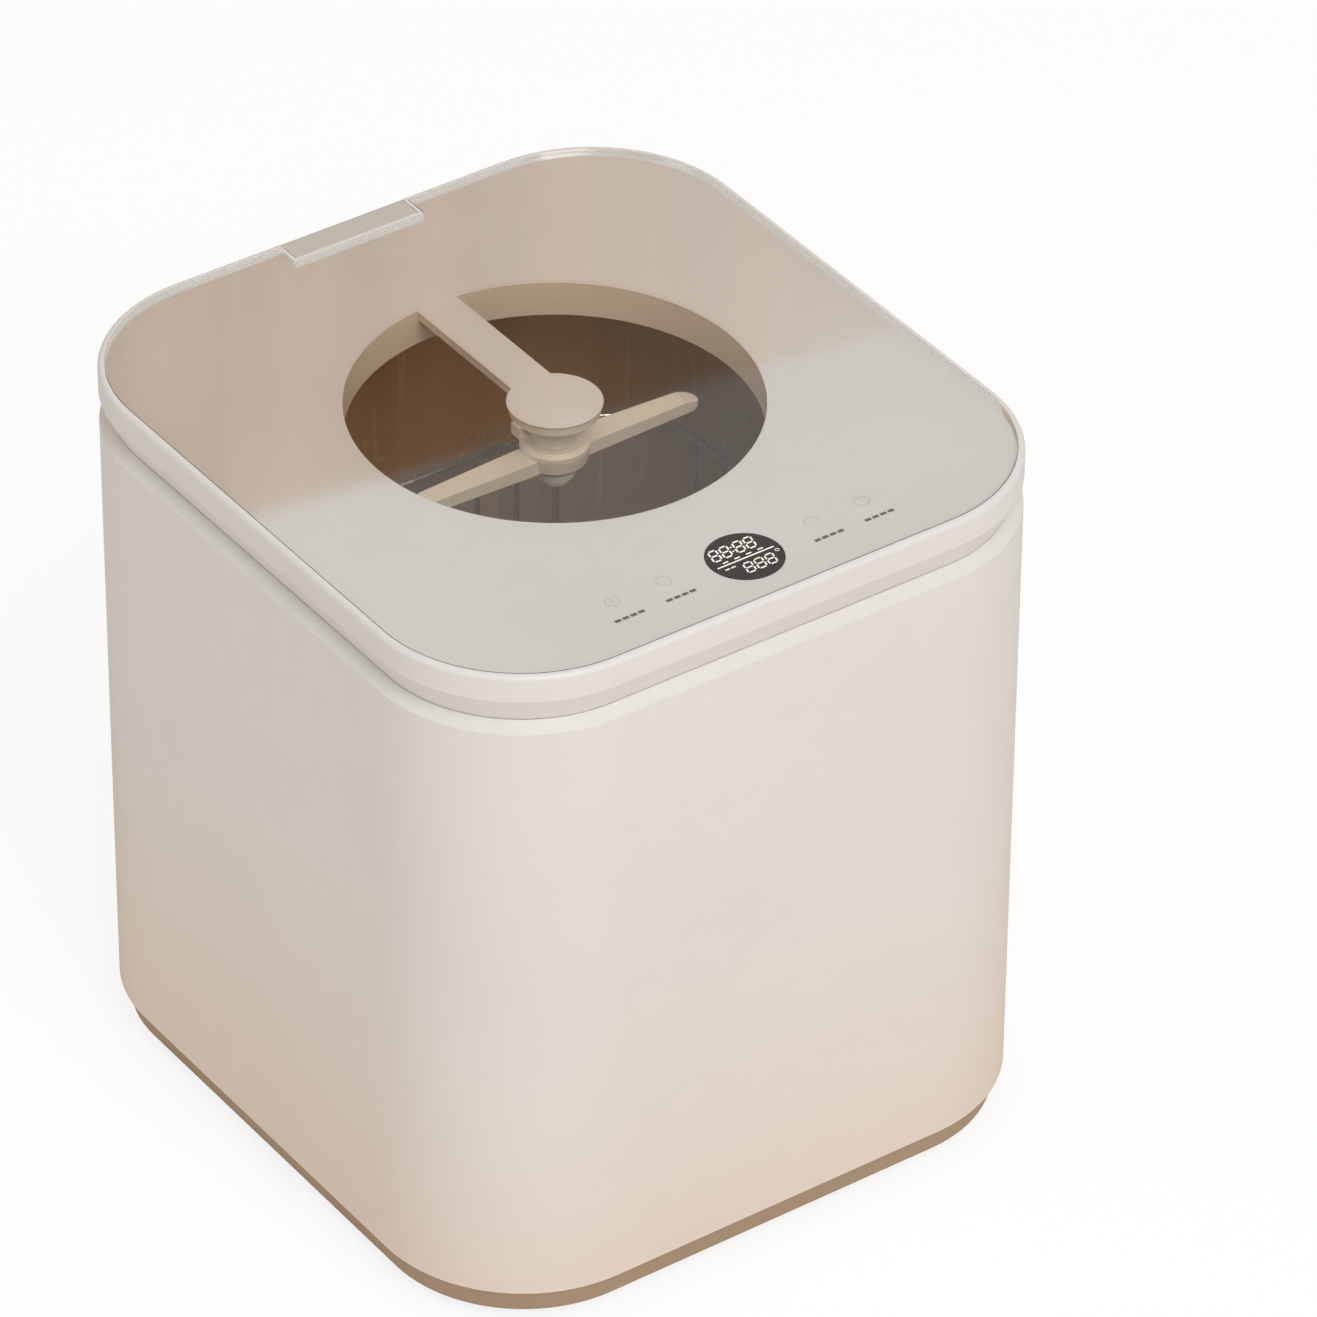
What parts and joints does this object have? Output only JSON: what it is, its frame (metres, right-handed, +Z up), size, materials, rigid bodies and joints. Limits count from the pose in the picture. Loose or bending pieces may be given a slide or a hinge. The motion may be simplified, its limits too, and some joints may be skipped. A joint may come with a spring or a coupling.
{
  "type": "countertop dishwasher",
  "caption": "Top-loading countertop dishwasher with a glazed hinged lid, round window, two turning spray arms, lift-out wire rack, pumps and filter in a rounded square housing.",
  "frame": {"origin": "middle of the footprint, on the surface that the feet stand on", "axes": "+Z up, +Y to the back where the lid's hinge is, +X to the right as seen from the front"},
  "size_m": [0.4, 0.43, 0.44],
  "materials": {
    "housing": "moulded, satin gloss",
    "glass": "tinted glass, polished",
    "print": "white back print",
    "inner_white": "moulded, smooth",
    "plinth": "moulded, fine grain",
    "foot": "moulded",
    "rubber": "matt",
    "steel": "brushed",
    "wire": "plastic-coated wire",
    "dark": "moulded",
    "basket": "moulded",
    "board": "circuit board",
    "display": "smoked window",
    "grey": "moulded",
    "copper": "coil"
  },
  "bodies": {
    "machine": {"housing_shell": "housing", "rear_cover": "housing", "cover_screws": "steel", "base_tray": "plinth", "feet": "foot", "foot_pads": "rubber", "top_deck": "inner_white", "inner_tub": "steel", "hinge_block": "housing", "hinge_springs": "steel", "feed_spout": "inner_white", "spout_seal": "rubber", "latch_housing": "dark", "lock_solenoid": "copper", "sump": "grey", "filter_plate": "steel", "lower_hub": "inner_white", "lower_hub_cap": "inner_white", "heating_element": "steel", "float_switch": "dark", "pump_volute": "dark", "pump_motor": "steel", "suction_pipe": "rubber", "feed_manifold": "grey", "riser_pipe": "rubber", "drain_pump": "dark", "drain_intake": "rubber", "drain_hose": "rubber", "inlet_valve": "inner_white", "inlet_hose": "rubber", "power_inlet": "dark", "board_case": "grey", "main_board": "board"},
    "lid": {"lid_frame": "housing", "lid_liner": "inner_white", "lid_screws": "steel", "glass_panel": "glass", "glass_print": "print", "lid_seal": "rubber", "touch_board": "board", "touch_springs": "steel", "display_module": "display", "water_duct": "inner_white", "upper_hub": "inner_white", "upper_hub_cap": "inner_white", "latch_striker": "steel", "hinge_pin": "steel", "detergent_cup": "inner_white", "flap_pin": "steel"},
    "upper_arm": {"upper_spray_arm": "inner_white"},
    "detergent_flap": {"detergent_flap": "inner_white"},
    "rack": {"dish_rack": "wire", "plate_tines": "wire"},
    "basket": {"cutlery_basket": "basket"},
    "lower_arm": {"lower_spray_arm": "steel"},
    "filter": {"filter_cup": "grey"},
    "float": {"float_cap": "inner_white"},
    "bolt": {"lock_bolt": "steel"},
    "impeller": {"pump_impeller": "inner_white"},
    "drain_rotor": {"drain_rotor": "inner_white"}
  },
  "joints": [
    {"name": "lid_hinge", "type": "hinge", "parent": "machine", "child": "lid", "pos_m": [0, 0.207, 0.42], "axis": [-1, 0, 0], "range_deg": [0, 80]},
    {"name": "upper_arm_spin", "type": "hinge", "parent": "lid", "child": "upper_arm", "pos_m": [0, 0.0035, 0.403], "axis": [0, 0, 1], "continuous": true},
    {"name": "detergent_flap_hinge", "type": "hinge", "parent": "lid", "child": "detergent_flap", "pos_m": [-0.112, -0.108, 0.4115], "axis": [1, 0, 0], "range_deg": [0, 95]},
    {"name": "rack_lift", "type": "slide", "parent": "machine", "child": "rack", "axis": [0, 0, 1], "range_m": [0, 0.04]},
    {"name": "basket_lift", "type": "slide", "parent": "rack", "child": "basket", "axis": [0, 0, 1], "range_m": [0, 0.04]},
    {"name": "lower_arm_spin", "type": "hinge", "parent": "machine", "child": "lower_arm", "pos_m": [0, -0.005, 0.14], "axis": [0, 0, 1], "continuous": true},
    {"name": "filter_twist", "type": "hinge", "parent": "machine", "child": "filter", "pos_m": [0.032, -0.005, 0.12], "axis": [0, 0, 1], "range_deg": [0, 60]},
    {"name": "float_rise", "type": "slide", "parent": "machine", "child": "float", "axis": [0, 0, 1], "range_m": [0, 0.006]},
    {"name": "lock_bolt_slide", "type": "slide", "parent": "machine", "child": "bolt", "axis": [-1, 0, 0], "range_m": [0, 0.01], "stiffness_N_per_m": 40},
    {"name": "impeller_spin", "type": "hinge", "parent": "machine", "child": "impeller", "pos_m": [0, -0.112, 0.064], "axis": [1, 0, 0], "continuous": true},
    {"name": "drain_rotor_spin", "type": "hinge", "parent": "machine", "child": "drain_rotor", "pos_m": [0.072, 0.06, 0.0575], "axis": [1, 0, 0], "continuous": true}
  ]
}
